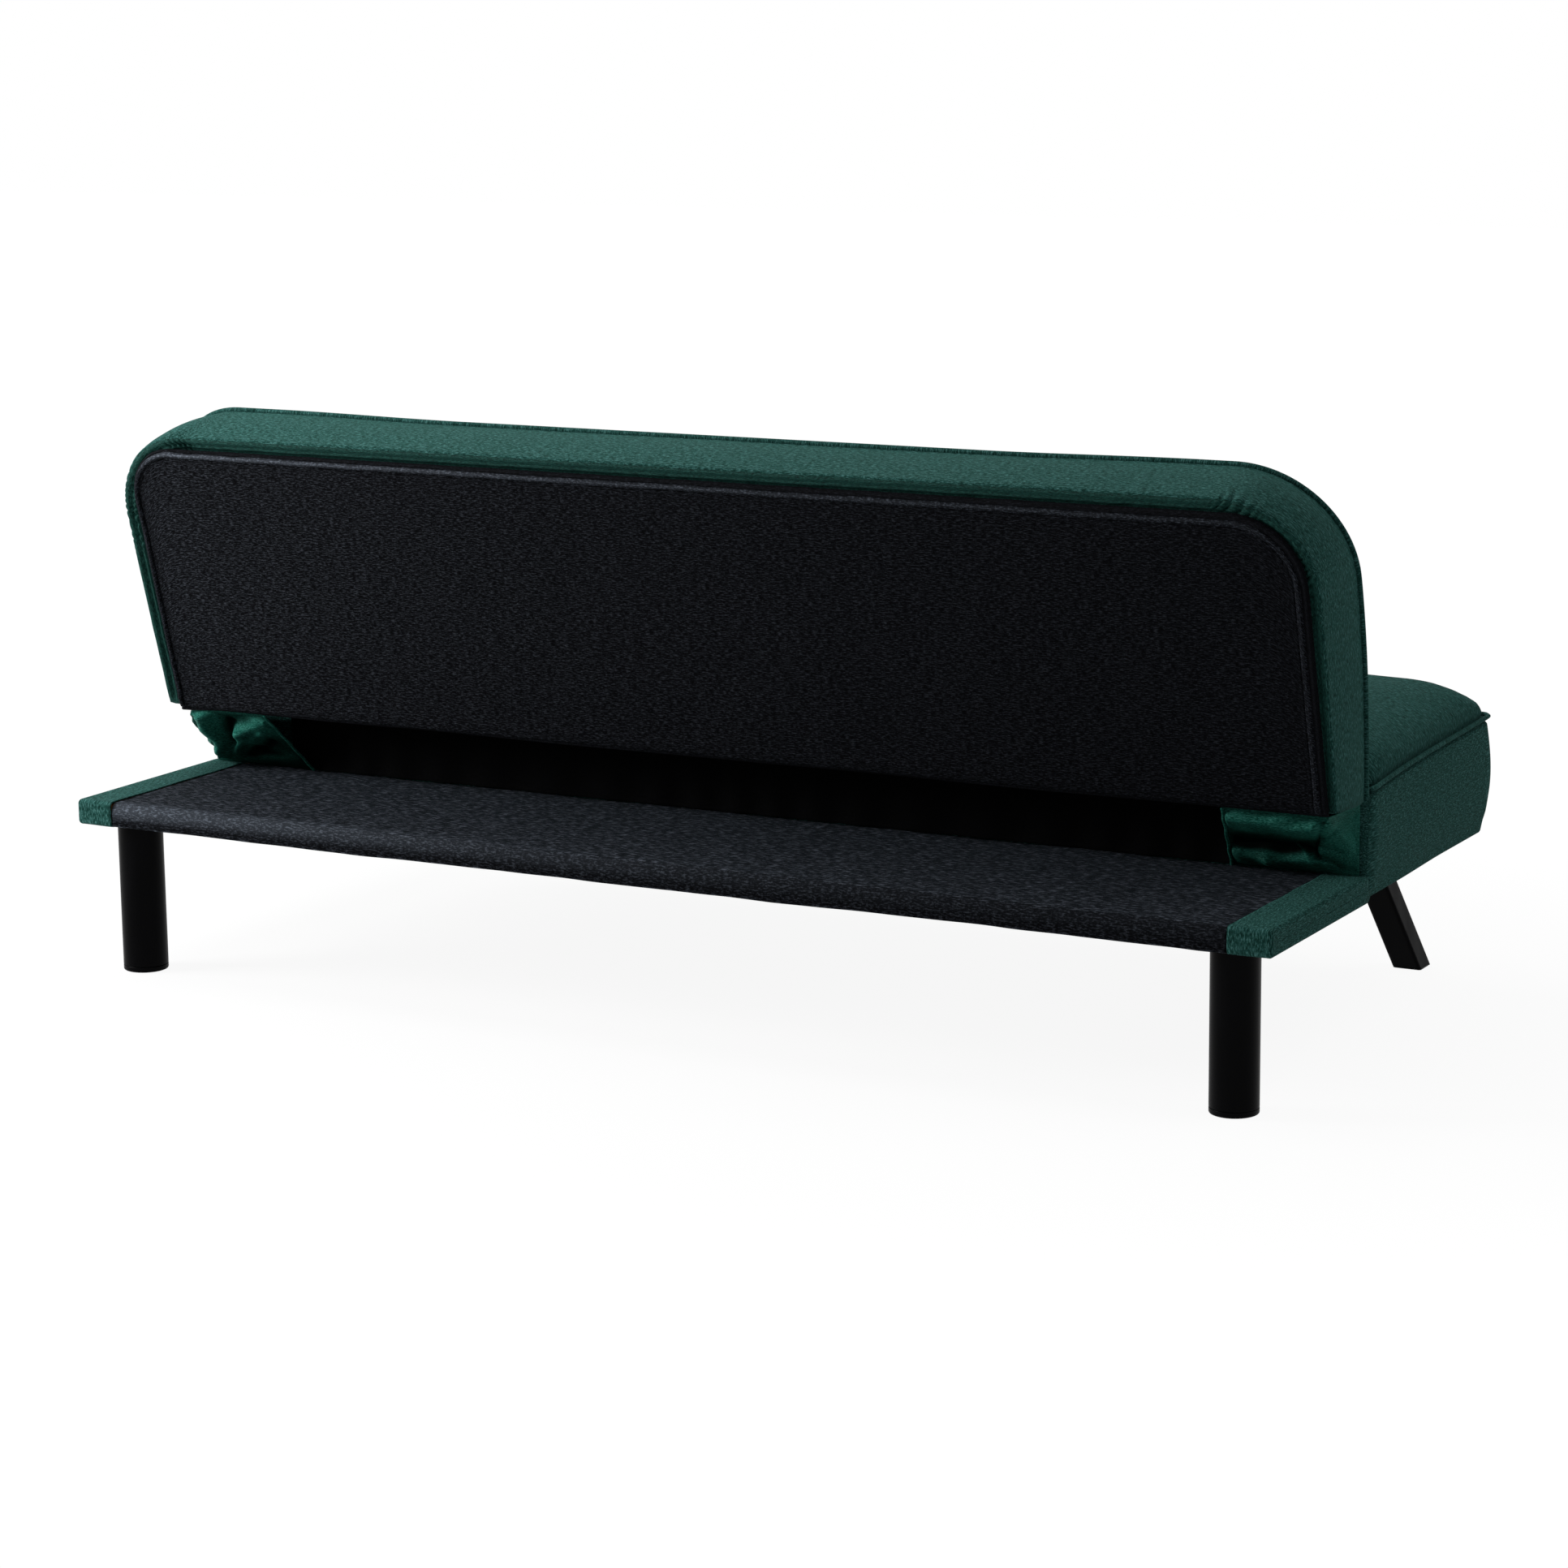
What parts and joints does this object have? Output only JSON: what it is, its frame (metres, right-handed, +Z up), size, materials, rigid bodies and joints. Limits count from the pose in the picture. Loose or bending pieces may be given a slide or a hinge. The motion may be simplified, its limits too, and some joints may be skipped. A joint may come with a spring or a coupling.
{
  "type": "click clack sofa bed",
  "caption": "Long armless sofa whose back folds rearward in clicks onto a low rear ledge to make a flat bed, with a crowned piped seat, round rear legs and splayed front legs.",
  "frame": {"origin": "on the floor, under the middle of the whole sofa's bounding box", "axes": "+Z up, +Y towards the rear ledge, the sitter faces -Y, +X towards the sitter's left"},
  "size_m": [1.81, 0.867, 0.7832],
  "materials": {
    "green_fabric": "matte",
    "black_fabric": "matte",
    "lining": "matte",
    "frame_wood": "matte",
    "webbing": "matte",
    "spring_steel": "satin",
    "zinc_steel": "satin",
    "black_plastic": "satin",
    "black_paint": "satin"
  },
  "bodies": {
    "base": {"seat_cushion": "green_fabric", "seat_welt": "green_fabric", "ledge_end_cover_left": "green_fabric", "ledge_end_cover_right": "green_fabric", "gusset_left": "green_fabric", "gusset_right": "green_fabric", "ledge_cover": "black_fabric", "seat_dust_cover": "lining", "rear_curtain": "lining", "ledge_deck": "frame_wood", "base_side_bearer_left": "frame_wood", "base_side_bearer_right": "frame_wood", "base_centre_bearer_left": "frame_wood", "base_centre_bearer_right": "frame_wood", "base_rear_rail": "frame_wood", "base_front_rail": "frame_wood", "seat_side_rail_left": "frame_wood", "seat_side_rail_right": "frame_wood", "seat_front_rail": "frame_wood", "seat_rear_rail": "frame_wood", "seat_spring_1": "spring_steel", "seat_spring_2": "spring_steel", "seat_spring_3": "spring_steel", "seat_spring_4": "spring_steel", "seat_spring_5": "spring_steel", "hinge_pawl_spring_left": "spring_steel", "hinge_pawl_spring_right": "spring_steel", "hinge_seat_plate_left": "zinc_steel", "hinge_seat_plate_right": "zinc_steel", "hinge_pivot_pin_left": "zinc_steel", "hinge_pivot_pin_right": "zinc_steel", "hinge_pawl_pin_left": "zinc_steel", "hinge_pawl_pin_right": "zinc_steel", "rear_leg_bolt_left": "zinc_steel", "rear_leg_bolt_right": "zinc_steel", "rear_leg_left": "black_plastic", "rear_leg_right": "black_plastic", "rear_leg_glide_left": "black_plastic", "rear_leg_glide_right": "black_plastic", "front_leg_cap_left": "black_plastic", "front_leg_cap_right": "black_plastic", "front_leg_left": "black_paint", "front_leg_right": "black_paint", "front_leg_plate_left": "black_paint", "front_leg_plate_right": "black_paint"},
    "back": {"back_cushion": "green_fabric", "back_welt": "green_fabric", "back_panel": "black_fabric", "back_panel_piping": "black_fabric", "back_top_rail": "frame_wood", "back_upright_left": "frame_wood", "back_upright_right": "frame_wood", "back_bottom_rail": "frame_wood", "back_centre_upright": "frame_wood", "back_webbing": "webbing", "hinge_back_arm_left": "zinc_steel", "hinge_back_arm_right": "zinc_steel"},
    "pawl_right": {"hinge_pawl_right": "zinc_steel"},
    "pawl_left": {"hinge_pawl_left": "zinc_steel"}
  },
  "joints": [
    {"name": "back_fold", "type": "hinge", "parent": "base", "child": "back", "pos_m": [0, 0.1315, 0.328], "axis": [-1, 0, 0], "range_deg": [-15, 75], "deforming": ["gusset_left", "gusset_right", "rear_curtain"]},
    {"name": "pawl_right_drop", "type": "hinge", "parent": "base", "child": "pawl_right", "pos_m": [0.8566, 0.0935, 0.294], "axis": [1, 0, 0], "range_deg": [0, 9.6]},
    {"name": "pawl_left_drop", "type": "hinge", "parent": "base", "child": "pawl_left", "pos_m": [-0.8566, 0.0935, 0.294], "axis": [1, 0, 0], "range_deg": [0, 9.6]}
  ],
  "couplings": [
    {"joint": "pawl_left_drop", "follows": "pawl_right_drop", "ratio": 1}
  ]
}
